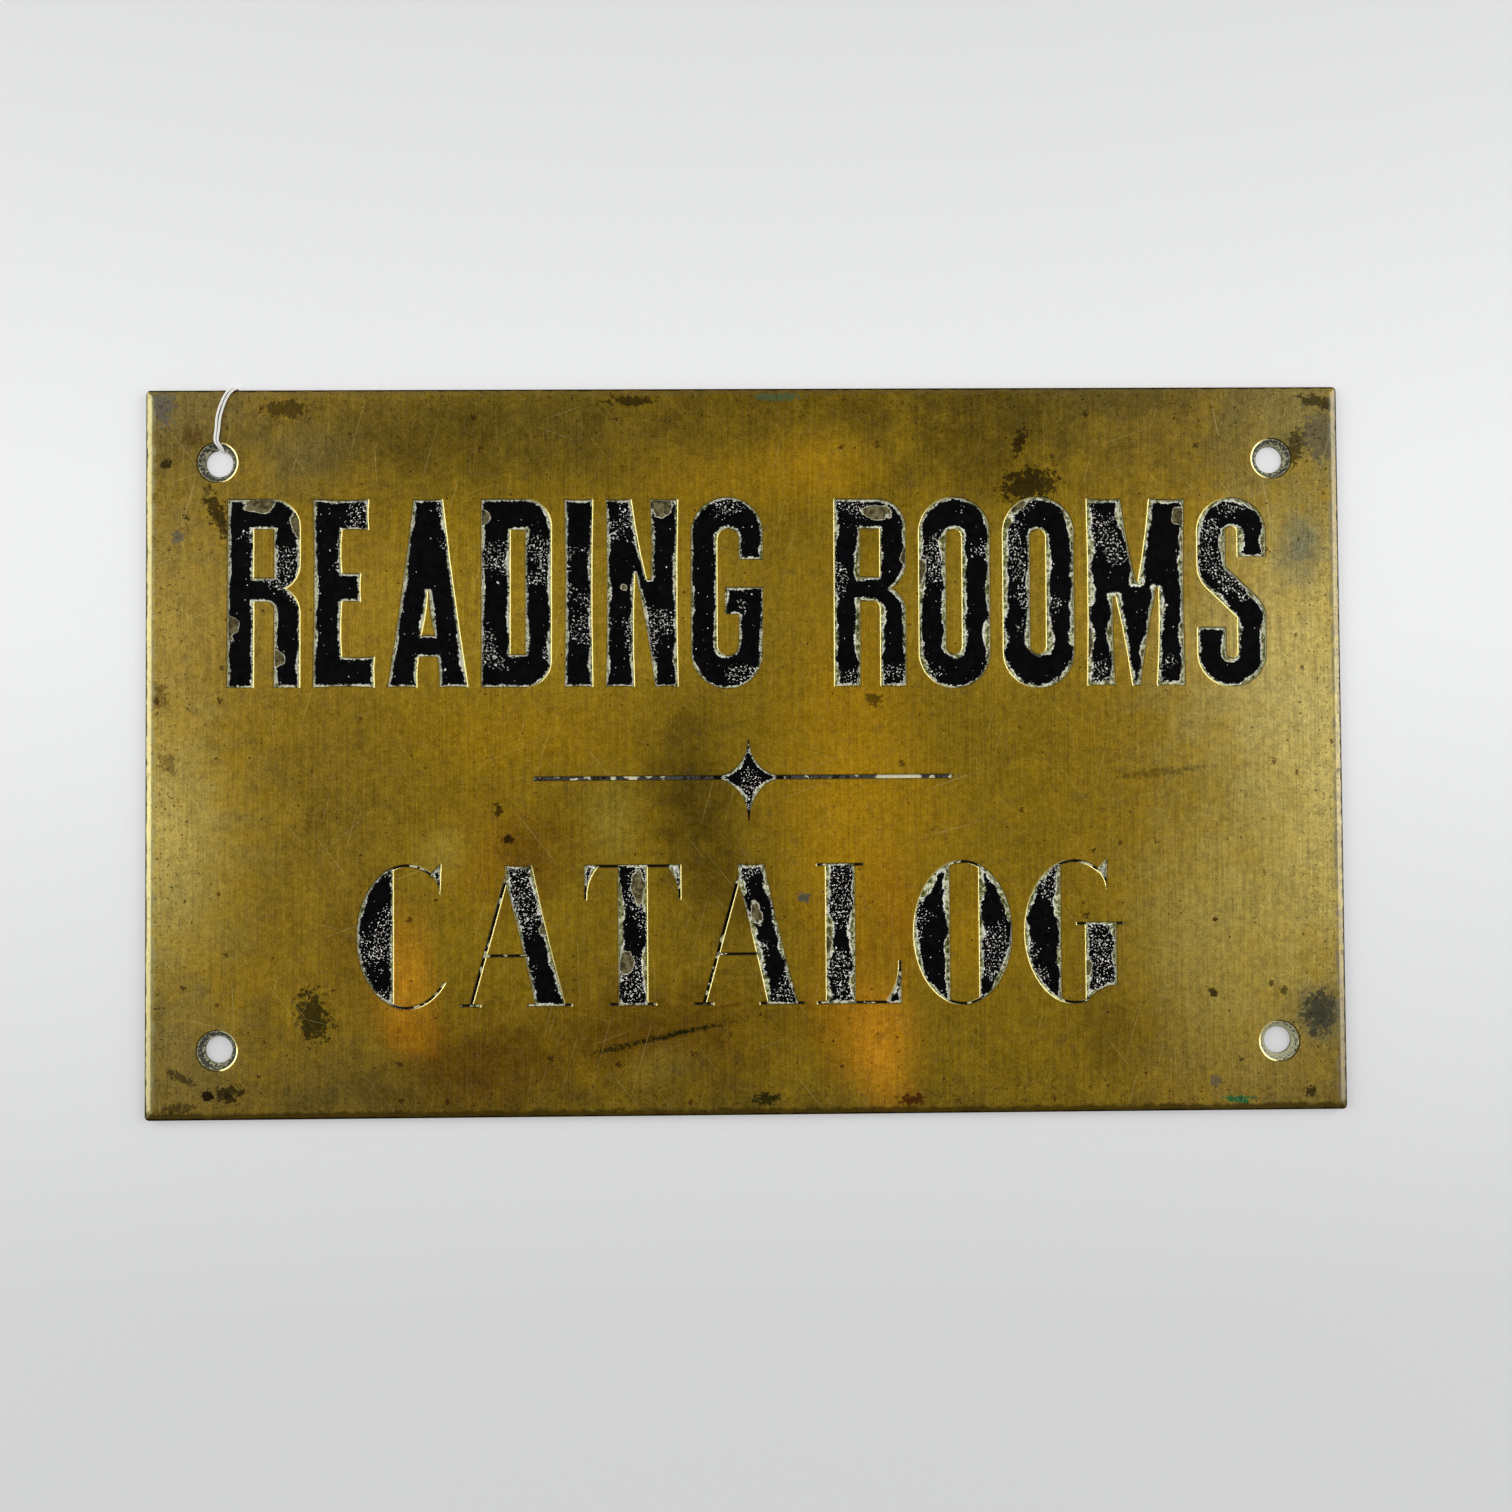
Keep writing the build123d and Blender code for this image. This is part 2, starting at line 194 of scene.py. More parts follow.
class Paint:
    """A material written as an expression: each method adds nodes and returns an output."""

    def __init__(self, name):
        self.material = bpy.data.materials.new(name)
        self.material.use_nodes = True
        self.nodes = self.material.node_tree.nodes
        self.links = self.material.node_tree.links
        self.shader = self.nodes["Principled BSDF"]
        metres = self.nodes.new("ShaderNodeTexCoord").outputs["Object"]
        self.place = self.vector("MULTIPLY", metres, (1 / MM, 1 / MM, 1 / MM))
        self.x, self.y, self.z = self.make("ShaderNodeSeparateXYZ", self.place).outputs
        self.flat = self.vector("MULTIPLY_ADD", self.place, (1, 1, 0), (0, 0, 1))   # x, y and 1

    def make(self, kind, *values, **settings):
        """A new node with these settings, and its first inputs linked or set to values."""
        node = self.nodes.new(kind)
        for name, value in settings.items():
            setattr(node, name, value)
        for socket, value in zip(node.inputs, values):
            self.feed(socket, value)
        return node

    def feed(self, socket, value):
        if isinstance(value, bpy.types.NodeSocket):
            self.links.new(value, socket)
        else:
            socket.default_value = value

    def vector(self, operation, *values):
        return self.make("ShaderNodeVectorMath", *values, operation=operation).outputs[0]

    def math(self, operation, *values):
        return self.make("ShaderNodeMath", *values, operation=operation).outputs[0]

    def add(self, *values):
        total = values[0]
        for value in values[1:]:
            total = self.math("ADD", total, value)
        return total

    def times(self, *values):
        total = values[0]
        for value in values[1:]:
            total = self.math("MULTIPLY", total, value)
        return total

    def most(self, *values):
        total = values[0]
        for value in values[1:]:
            total = self.math("MAXIMUM", total, value)
        return total

    def ramp(self, value, low, high, to_low=0.0, to_high=1.0):
        """Smooth step from to_low at low to to_high at high. low may be the larger."""
        return self.make("ShaderNodeMapRange", value, low, high, to_low, to_high,
                         interpolation_type="SMOOTHSTEP").outputs[0]

    def swing(self, value, amount):
        """A noise's usual range spread over -amount to amount."""
        return self.ramp(value, 0.3, 0.7, -amount, amount)

    def texture(self, place, detail, rough):
        """Noise from 0 to 1 with waves one unit long."""
        node = self.make("ShaderNodeTexNoise", place)
        node.inputs["Scale"].default_value = 1.0
        node.inputs["Detail"].default_value = detail
        node.inputs["Roughness"].default_value = rough
        return node.outputs["Fac"]

    def noise(self, per_mm, seed, detail=2.0, rough=0.5):
        """Noise from 0 to 1 with per_mm waves a millimetre: one number, or one for each axis."""
        factors = (per_mm,) * 3 if isinstance(per_mm, (int, float)) else per_mm
        shift = [step * seed for step in SEED_STEP]
        return self.texture(self.vector("MULTIPLY_ADD", self.place, factors, shift), detail, rough)

    def blot(self, x, y, across, along, turn=0.0, soft=1.0, ragged=None):
        """1 in the middle of an ellipse with these half sizes, and 0 outside it. soft is the share
        of it that fades, and ragged a noise that breaks its edge."""
        c, s = cos_sin(turn)
        u = self.dot((c / across, s / across, -(x * c + y * s) / across))
        v = self.dot((-s / along, c / along, (x * s - y * c) / along))
        length = self.math("SQRT", self.math("MULTIPLY_ADD", u, u, self.times(v, v)))
        if ragged is not None:
            length = self.math("ADD", length, ragged)
        return self.ramp(length, 1.0, 1.0 - soft)

    def dot(self, factors):
        """x and y times the first two factors, plus the third."""
        node = self.make("ShaderNodeVectorMath", self.flat, factors, operation="DOT_PRODUCT")
        return node.outputs["Value"]

    def spots(self, spacing, radius, share, seed, ragged):
        """1 inside spots of up to this radius, in a share of the cells that are spacing wide.
        ragged is a noise that breaks their outlines."""
        place = self.vector("MULTIPLY_ADD", self.flat, (1 / spacing, 1 / spacing, 0), (seed, 2 * seed, 0))
        cells = self.make("ShaderNodeTexVoronoi", place, voronoi_dimensions="2D")
        cells.inputs["Scale"].default_value = 1.0
        pick, size, _ = self.make("ShaderNodeSeparateColor", cells.outputs["Color"]).outputs
        reach = self.times(self.ramp(size, 0.0, 1.0, 0.35, 1.0), radius / spacing)
        length = self.add(self.math("DIVIDE", cells.outputs["Distance"], reach), ragged)
        covered = self.ramp(length, 1.0, 0.7)
        return self.times(covered, self.math("LESS_THAN", pick, share))

    def hairs(self, turn, seed, rare):
        """Fine straight lines along one direction: 1 on a line. rare sets how few there are."""
        c, s = cos_sin(turn)
        along, across = self.dot((c, s, 0)), self.dot((-s, c, 0))
        place = self.make("ShaderNodeCombineXYZ", self.times(along, HAIR_WAVES[0]),
                          self.times(across, HAIR_WAVES[1]), seed)
        return self.ramp(self.texture(place.outputs[0], 2.0, 0.5), rare, rare + 0.05)

    def mix(self, amount, first, second, blend="MIX"):
        node = self.make("ShaderNodeMix", data_type="RGBA", blend_type=blend)
        for socket, value in ((0, amount), (6, first), (7, second)):   # the sockets used for colours
            self.feed(node.inputs[socket], value)
        return node.outputs[2]

    def tint(self, base, red, green, blue, blend="MULTIPLY"):
        """A colour multiplied by three numbers, or blended with them in another way."""
        return self.mix(1.0, base, self.make("ShaderNodeCombineColor", red, green, blue).outputs[0], blend)

    def field(self, name):
        """A number stored on the mesh's points."""
        node = self.make("ShaderNodeAttribute", attribute_name=name)
        return node.outputs["Fac"]

    def soft_edges(self, radius):
        """The normal smoothed across edges within this radius, and 1 where it turns."""
        node = self.make("ShaderNodeBevel", radius * MM)
        node.samples = 6
        flat = self.make("ShaderNodeNewGeometry").outputs["True Normal"]
        same = self.make("ShaderNodeVectorMath", node.outputs[0], flat, operation="DOT_PRODUCT")
        return node.outputs[0], self.ramp(same.outputs["Value"], 0.992, 0.955)

    def bump(self, height, distance, strength, normal=None):
        node = self.make("ShaderNodeBump")
        if normal is not None:
            self.feed(node.inputs["Normal"], normal)
        self.feed(node.inputs["Height"], height)
        node.inputs["Distance"].default_value = distance * MM
        node.inputs["Strength"].default_value = strength
        return node.outputs["Normal"]


# The orange colour, and some of the pale and dark olive patches, are painted reflections on the face
OLIVE, DARK_OLIVE_AND_REFLECTION, DRAB = colour("9f7e20"), colour("66500f"), colour("6c5b2c")
GOLD, AMBER, ORANGE_REFLECTION = colour("cb981a"), colour("c07c0a"), colour("f0a42c")
PALE_AND_SHEEN, STRAW, GREY_OLIVE = colour("d0b868"), colour("e8d494"), colour("8c7c4a")
# The soot colour also serves as painted shade along the plate's outer edge
BROWN, RUST, SOOT_AND_SHADE = colour("744f08"), colour("5a3a16"), colour("1c160d")
GREY_STAIN, VERDIGRIS, GREEN = colour("6b675a"), colour("5d7d58"), colour("2f7a45")
CREAM = colour("e8e5c6")

# Broad patches of tone on the face, partly painted reflection: the pale ends, the dark middle and the orange
# patches stand in for reflected light. Columns: x, y, half width, half height, turn, colour, amount
TONES_AND_REFLECTIONS = [
    (-72, 82, 130, 26, 0, DRAB, 0.75), (88, 94, 90, 38, 0, DRAB, 0.9), (10, 92, 60, 20, 0, DARK_OLIVE_AND_REFLECTION, 0.5),
    (-80, 77, 36, 14, 0, DARK_OLIVE_AND_REFLECTION, 0.5), (59, 76, 26, 24, 0, DARK_OLIVE_AND_REFLECTION, 0.6),
    (-8, 67, 32, 14, -4, GOLD, 0.35), (18, 71, 24, 14, 0, GOLD, 0.65),
    (-112, 74, 20, 14, 20, GREY_OLIVE, 0.5), (-56, 5, 46, 18, 0, GOLD, 0.4),
    (26, -12, 28, 80, 2, GOLD, 0.85), (24, -64, 16, 30, 0, AMBER, 0.5),
    (-14, -11, 17, 40, 3, DARK_OLIVE_AND_REFLECTION, 0.95), (-4, -37, 17, 26, 8, DARK_OLIVE_AND_REFLECTION, 0.6),
    (-104, -16, 30, 44, 0, DRAB, 0.2), (-62, -26, 24, 22, 0, AMBER, 0.25), (-54, -26, 15, 20, 0, BROWN, 0.6),
    (-34, -17, 11, 18, 5, PALE_AND_SHEEN, 0.3), (-76, -25, 12, 10, 30, PALE_AND_SHEEN, 0.35), (46, -18, 18, 22, 0, GOLD, 0.3),
    (92, -70, 20, 16, 0, DARK_OLIVE_AND_REFLECTION, 0.5), (-22, -72, 52, 24, 0, BROWN, 0.8),
    (-94, -84, 60, 22, 0, DRAB, 0.7), (-66, -80, 34, 26, 0, BROWN, 0.9), (-22, -79, 16, 9, 15, PALE_AND_SHEEN, 0.25),
    (0, -98, 200, 24, 0, DRAB, 0.8), (-86, -56, 12, 24, 8, ORANGE_REFLECTION, 0.75), (-84, -70, 13, 10, 0, AMBER, 0.6),
    (33, -74, 14, 24, 4, ORANGE_REFLECTION, 0.85), (37, -40, 9, 26, 12, AMBER, 0.5),
    (-162, -24, 50, 60, 0, PALE_AND_SHEEN, 0.9), (170, -4, 86, 96, 0, PALE_AND_SHEEN, 1.0), (148, -10, 30, 66, 0, STRAW, 0.3),
    (-150, 84, 40, 60, 0, DRAB, 0.8), (140, 86, 34, 44, 0, GREY_OLIVE, 0.85),
    (-148, -88, 40, 50, 0, DRAB, 0.6), (146, -92, 36, 26, 0, DRAB, 0.6),
    (-144, -74, 30, 26, 0, colour("a08b52"), 0.45), (130, -80, 44, 28, 0, colour("a58f50"), 0.45),
    (-138, 88, 32, 14, 0, colour("8c7a4c"), 0.5), (-84, 92, 90, 7, 0, colour("a08538"), 0.45),
    (-48, 35, 95, 34, 0, colour("c09a38"), 0.95), (76, 36, 62, 34, 0, colour("b8943a"), 0.8),
    (132, 26, 40, 48, 0, STRAW, 0.35), (-150, -16, 24, 46, 0, STRAW, 0.2),
    (-148, 34, 40, 50, 0, colour("b59a55"), 0.6),
    (-95, -50, 18, 24, 0, BROWN, 0.4), (55, -46, 18, 26, 0, GOLD, 0.4), (120, -46, 36, 44, 0, PALE_AND_SHEEN, 0.5),
    (143, -67, 11, 12, 0, colour("66685a"), 0.8), (140, 50, 9, 13, -10, colour("6c7066"), 0.8),
]

# Stains: x, y, half width, half height, turn, colour, amount. Specks gather round the first ones.
SPECKLED_STAINS = 12
STAINS = [
    (-146, 87, 3.2, 5.5, 0, GREY_STAIN, 0.9), (-131.9, 59.6, 2.3, 6.5, 20, colour("2a2410"), 0.85),
    (-108.2, -65.5, 4.0, 7.0, 10, colour("2f2c12"), 0.85),
    (-129.2, -84.4, 3.6, 2.0, 5, colour("2b2610"), 0.85),
    (-134, -85, 1.8, 1.8, 0, SOOT_AND_SHADE, 0.95), (143.1, -66.6, 4.4, 5.4, 0, colour("414438"), 0.8),
    (139.3, 75.8, 2.2, 4.6, -18, colour("2a2411"), 0.75), (146, 78.7, 5, 7, 0, colour("625c49"), 0.7),
    (71.4, 66.2, 7.5, 4.5, 12, colour("2f2410"), 0.85), (69, 77.2, 1.5, 4.2, -20, SOOT_AND_SHADE, 0.8),
    (80, 57, 2.0, 4.5, 25, RUST, 0.6), (146.3, 87, 6.5, 1.6, -14, SOOT_AND_SHADE, 0.75),
    (-28, 88, 6.5, 1.1, 0, SOOT_AND_SHADE, 0.75), (-114.5, 86.2, 5.5, 2.2, 0, SOOT_AND_SHADE, 0.65),
    (9, 88.8, 6.5, 0.9, 0, VERDIGRIS, 0.7),
    (13.7, -36.8, 1.6, 1.4, 0, GREY_STAIN, 0.95), (122.3, -88.2, 3.8, 1.1, 0, GREEN, 0.95),
    (40.5, -87.6, 3.2, 1.4, 0, colour("54200f"), 0.85), (4.8, -87, 3.4, 1.5, 0, colour("20240f"), 0.85),
    (-138.6, 79.5, 2.6, 3.0, 0, RUST, 0.55), (-141.5, 54.3, 1.9, 1.9, 0, GREY_STAIN, 0.75),
    (-144.8, 72.6, 1.3, 1.3, 0, SOOT_AND_SHADE, 0.85), (-147, 14, 2.6, 4, 0, RUST, 0.55),
    (-144, -2, 2.2, 3, 0, RUST, 0.5), (-140.7, -80.5, 3.8, 1.2, -28, colour("39311f"), 0.75),
    (-62.1, -14.6, 1.1, 1.9, 0, SOOT_AND_SHADE, 0.8), (-59.9, -22.1, 1.5, 1.0, 30, SOOT_AND_SHADE, 0.85),
    (116.9, -83.3, 1.5, 1.5, 0, GREY_STAIN, 0.7), (103, -6.4, 11, 1.0, 6, colour("4a3a16"), 0.4),
    (-141.5, -88, 4.5, 1.4, 0, SOOT_AND_SHADE, 0.6), (117.2, -43.3, 0.8, 0.7, 0, colour("5a1f10"), 0.9),
    (140.6, -86.3, 1.6, 1.2, 20, SOOT_AND_SHADE, 0.8), (134.5, -61.1, 1.2, 1.0, 45, SOOT_AND_SHADE, 0.7),
    (116.4, -61.7, 1.1, 1.1, 0, SOOT_AND_SHADE, 0.85), (32, 12.4, 2.4, 1.6, -30, colour("3a2c10"), 0.7),
]

# Long scratches: x, y, half length, half width, turn, colour, amount
SCRATCHES = [
    (-19.5, -71, 24, 1.2, 12, colour("25250f"), 0.95), (-34, -74.4, 8, 1.3, 12, colour("25250f"), 0.8),
    (-4.5, -63.7, 9, 0.6, 10, BROWN, 0.7),
    (132, 60, 11, 0.18, -80, STRAW, 0.6), (126, 8, 10, 0.14, 62, STRAW, 0.5),
    (119, 82, 8, 0.16, -80, STRAW, 0.5), (97, 25, 16, 0.14, -28, STRAW, 0.45),
    (-22, 20, 11, 0.15, -68, SOOT_AND_SHADE, 0.35), (-100, -20, 12, 0.13, 40, STRAW, 0.35),
    (52, -20, 14, 0.13, 15, STRAW, 0.4), (-48, 80, 9, 0.13, -20, STRAW, 0.3),
    (84, -60, 10, 0.13, 30, STRAW, 0.35),
]

# Fine bright scratches from years of polishing: direction in degrees, seed, rarity
HAIRS = [(74, 1.0, 0.70), (-52, 5.0, 0.71), (20, 9.0, 0.71), (93, 13.0, 0.72), (-15, 17.0, 0.73)]


def marks(paint, base, table, soft, ragged):
    """Adds the marks of one table to a colour, in the table's order."""
    for x, y, across, along, turn, tint, amount in table:
        cover = paint.times(paint.blot(x, y, across, along, turn, soft, ragged), amount)
        base = paint.mix(cover, base, tint)
    return base


def hole_distance(paint):
    """Distance from the nearest screw hole's centre: the four lie in mirrored quarters."""
    offsets = []
    for value, centre, spacing in zip((paint.x, paint.y), HOLE_CENTRE, HOLE_SPACING):
        side = paint.math("ABSOLUTE", paint.math("SUBTRACT", value, float(centre)))
        offsets.append(paint.math("SUBTRACT", side, float(spacing / 2)))
    return paint.math("SQRT", paint.add(*(paint.times(value, value) for value in offsets)))


class Brass(Paint):
    """Paint with the noises, and the distances from the plate's edges, that its layers share."""

    def __init__(self, name):
        super().__init__(name)
        self.cloudy = self.noise(0.035, 1, detail=5, rough=0.6)
        self.blotchy = self.noise(0.13, 6, detail=5, rough=0.65)
        self.mottled = self.noise(0.55, 2, detail=5, rough=0.7)
        self.grain = self.noise((2.6, 0.06, 1), 3, detail=3, rough=0.65)
        self.cross_grain = self.noise((0.09, 2.4, 1), 4, detail=3, rough=0.65)
        self.dust = self.noise(2.2, 23, detail=3, rough=0.7)
        self.speckle = self.noise(1.0, 5, detail=4, rough=0.65)
        self.edge_x = self.math("SUBTRACT", float(PLATE_CORNER[0]), self.math("ABSOLUTE", self.x))
        self.edge_y = self.math("SUBTRACT", float(PLATE_CORNER[1]), self.math("ABSOLUTE", self.y))
        self.edge = self.math("MINIMUM", self.edge_x, self.edge_y)


def face_tone(paint):
    """Patchy olive face, yellower away from the plate's ends, with painted reflections: paler ends, a darker
    middle and orange glows.
    """
    sway = paint.ramp(paint.blotchy, 0.25, 0.75, -0.16, 0.16)
    tone = marks(paint, OLIVE, TONES_AND_REFLECTIONS, 1.0, sway)
    shade = paint.add(1.07, paint.swing(paint.mottled, 0.11), paint.swing(paint.blotchy, 0.13),
                      paint.swing(paint.grain, 0.12), paint.swing(paint.cross_grain, 0.02),
                      paint.swing(paint.dust, 0.17), paint.swing(paint.cloudy, 0.06))
    tone = paint.tint(tone, shade, shade, shade)
    tone = paint.tint(tone, 0.985, 1.005, paint.ramp(paint.edge_x, 42, 80, 0.84, 0.5))
    haze = paint.ramp(paint.dust, 0.42, 0.7, 0.0, 0.024)
    tone = paint.tint(tone, haze, haze, haze, "ADD")
    tarnish = paint.times(paint.ramp(paint.noise(0.28, 10, detail=6, rough=0.75), 0.53, 0.7), 0.3)
    return paint.mix(tarnish, tone, colour("62523a"))


def stained(paint, tone):
    """Adds stains, scratches and specks. Also returns the specks' cover."""
    breakup = paint.ramp(paint.noise(0.8, 22, detail=5, rough=0.66), 0.3, 0.7, -0.6, 0.5)
    tone = marks(paint, tone, STAINS, 0.32, breakup)
    tone = marks(paint, tone, SCRATCHES, 0.8, paint.ramp(paint.speckle, 0.3, 0.7, -0.3, 0.5))

    # Specks, thickest round the first stains, near the plate's edges and in cloudy patches
    dirt = paint.most(*(paint.blot(x, y, 2.2 * across + 2, 2.2 * along + 2, turn)
                        for x, y, across, along, turn, _, _ in STAINS[:SPECKLED_STAINS]))
    dirt = paint.most(dirt, paint.ramp(paint.edge, 32, 0, 0.0, 0.8),
                      paint.ramp(paint.cloudy, 0.5, 0.7, 0, 0.6))
    flecks = paint.ramp(paint.add(paint.speckle, paint.times(dirt, 0.14)), 0.68, 0.76)
    uneven = paint.swing(paint.noise(1.6, 21, detail=2), 0.6)
    blobs = paint.times(paint.spots(9, 0.8, 0.4, 3.7, uneven), paint.ramp(dirt, 0.12, 0.3, 0.1, 1.0))
    flecks = paint.most(flecks, blobs, paint.spots(3.1, 0.3, 0.16, 8.1, uneven))
    fleck_tone = paint.mix(paint.ramp(paint.blotchy, 0.44, 0.56), colour("2a200f"), colour("452010"))
    return paint.mix(paint.times(flecks, 0.78), tone, fleck_tone), flecks


def worn_and_lit_edges(paint, tone):
    """Paints a highlight on the edges of the engraving and holes that face the plate's ends, as if polished,
    and painted shade on the others. Also returns the softened normal, the cover of all those edges, and 1 on
    the highlighted ones."""
    soft_normal, edge_wear_and_light = paint.soft_edges(0.5)
    edge_wear_and_light = paint.times(paint.most(edge_wear_and_light, paint.ramp(paint.z, FACE - 0.004, FACE - 0.02)),
                       paint.ramp(paint.z, FACE - EDGE_WEAR - 0.12, FACE - EDGE_WEAR),
                       paint.ramp(paint.edge, 2.2, 2.6))
    lean = paint.make("ShaderNodeSeparateXYZ", soft_normal).outputs[0]
    outward = paint.times(lean, paint.ramp(paint.x, -8, 8, -1.0, 1.0))
    polished_and_highlit = paint.ramp(outward, 0.04, 0.16)
    shaded_side = paint.math("SUBTRACT", 1.0, polished_and_highlit)
    # Painted shade on the edges that face the plate's middle, and a painted highlight on those that face its
    # ends
    tone = paint.mix(paint.times(edge_wear_and_light, shaded_side, 0.8), tone, colour("33290f"))
    tone = paint.mix(paint.times(edge_wear_and_light, polished_and_highlit), tone, colour("fff3a2"))
    return tone, soft_normal, edge_wear_and_light, polished_and_highlit


def rimmed(paint, tone):
    """Bevel round the face: a painted highlight at the ends, paler on the left, painted shade in brown at
    the foot, and a dark outer edge of painted shade.
    """
    wander = paint.swing(paint.noise(0.35, 9, detail=4), 0.5)
    inward = paint.add(paint.edge, wander)
    # Painted highlight on the bevels at both ends, paler on the left than on the right
    end_rim_highlight = paint.times(paint.ramp(inward, 3.1, 1.3),
                          paint.ramp(paint.math("SUBTRACT", paint.edge_x, paint.edge_y), 0.3, -0.3),
                          paint.ramp(paint.mottled, 0.35, 0.65, 0.75, 1.0))
    end_rim_highlight_tone = paint.mix(paint.ramp(paint.x, -10, 10), colour("b0aa7c"), colour("87806a"))
    tone = paint.mix(paint.times(end_rim_highlight, 0.95), tone, end_rim_highlight_tone)
    # Painted shade: the bottom bevel is darkened in brown
    foot_rim_shade = paint.times(paint.ramp(inward, 2.4, 1.2), paint.ramp(paint.y, -88.0, -89.4))
    tone = paint.mix(paint.times(foot_rim_shade, 0.8), tone, colour("4c3b12"))
    head_rim = paint.times(paint.ramp(inward, 1.9, 1.2), paint.ramp(paint.y, 88.6, 89.6))
    tone = paint.mix(paint.times(head_rim, 0.4), tone, colour("8c7a46"))
    # Painted shade: a dark line along the plate's outermost edge
    outer_edge_shade = paint.ramp(paint.add(paint.edge, paint.times(wander, 0.3)), 0.6, 0.3)
    return paint.mix(paint.times(outer_edge_shade, 0.9), tone, SOOT_AND_SHADE)


def hollowed(paint, tone):
    """Dirt in the recesses and holes. Also returns its crumbs, and a list of each hollow's cover."""
    # Recess walls and floors: dried polish and verdigris over brass
    recess = paint.times(paint.ramp(paint.z, FACE - EDGE_WEAR, FACE - EDGE_WEAR - 0.08),
                         paint.ramp(paint.edge, 2.5, 3.0))
    crumbs = paint.noise(1.7, 7, detail=3, rough=0.7)
    wall = paint.mix(paint.ramp(crumbs, 0.42, 0.56), colour("77703c"), CREAM)
    wall = paint.mix(paint.ramp(paint.noise(0.5, 8), 0.5, 0.62, 0, 0.5), wall, VERDIGRIS)
    tone = paint.mix(recess, tone, wall)

    # Countersinks: dark grey-green with pale crumbs, which are thickest deep down and on the right
    distance = hole_distance(paint)
    sink = paint.times(paint.ramp(paint.z, FACE - 0.2, FACE - 0.4), paint.ramp(distance, 5.6, 5.3))
    paler = paint.add(paint.ramp(distance, 4.4, 3.6, 0.0, 0.1), -0.04,
                      paint.times(paint.ramp(paint.x, -50, 50), paint.ramp(paint.y, 50, -50, 0.03, 0.14)))
    sunk = paint.mix(paint.ramp(paint.add(crumbs, paler), 0.50, 0.64), colour("34332a"), colour("b3b08c"))
    tone = paint.mix(sink, tone, sunk)
    shank = paint.times(paint.ramp(paint.z, 0.8, 0.7), paint.ramp(distance, 3.6, 3.4))
    return paint.mix(shank, tone, colour("6b6650")), crumbs, [recess, sink, shank]


def aged_brass():
    """Brushed brass gone olive, with stains, painted reflections in its tone, worn edges with painted
    highlights and shade, and dirt in every hollow.
    """
    paint = Brass("aged_brass")
    tone, flecks = stained(paint, face_tone(paint))
    hairs = paint.most(*(paint.hairs(*row) for row in HAIRS))
    tone = paint.mix(paint.times(hairs, 0.42), tone, colour("ead68e"))
    tone, soft_normal, edge_wear_and_light, polished_and_highlit = worn_and_lit_edges(paint, tone)
    tone, crumbs, covers = hollowed(paint, rimmed(paint, tone))

    # Side and back faces, never polished
    side = paint.times(paint.ramp(paint.z, 1.75, 1.6), paint.ramp(paint.edge, 0.3, 0.1))
    back = paint.ramp(paint.z, 0.02, 0.005)
    unpolished = paint.mix(paint.ramp(paint.mottled, 0.35, 0.65), colour("5b4320"), colour("8a6c33"))
    tone = paint.mix(paint.most(side, back), tone, unpolished)

    hollow = paint.most(*covers)
    paint.feed(paint.shader.inputs["Base Color"], tone)
    paint.feed(paint.shader.inputs["Metallic"], paint.ramp(hollow, 0.0, 1.0, 1.0, 0.1))
    rough = paint.add(paint.ramp(paint.mottled, 0.3, 0.7, 0.33, 0.43), paint.times(hollow, 0.3),
                      paint.times(flecks, 0.15), paint.swing(paint.grain, 0.03))
    rough = paint.math("SUBTRACT", rough, paint.times(edge_wear_and_light, polished_and_highlit, 0.2))
    paint.feed(paint.shader.inputs["Roughness"], rough)
    height = paint.add(paint.times(paint.grain, 0.3), paint.times(paint.mottled, 0.6),
                       paint.times(hairs, -0.4), paint.times(crumbs, hollow, 3.0))
    rested = paint.vector("NORMALIZE", paint.vector("ADD", soft_normal, (0, 0, 0.4)))
    rested = paint.mix(back, rested, paint.make("ShaderNodeNewGeometry").outputs["Normal"])
    paint.feed(paint.shader.inputs["Normal"], paint.bump(height, 0.02, 0.6, rested))
    return paint.material


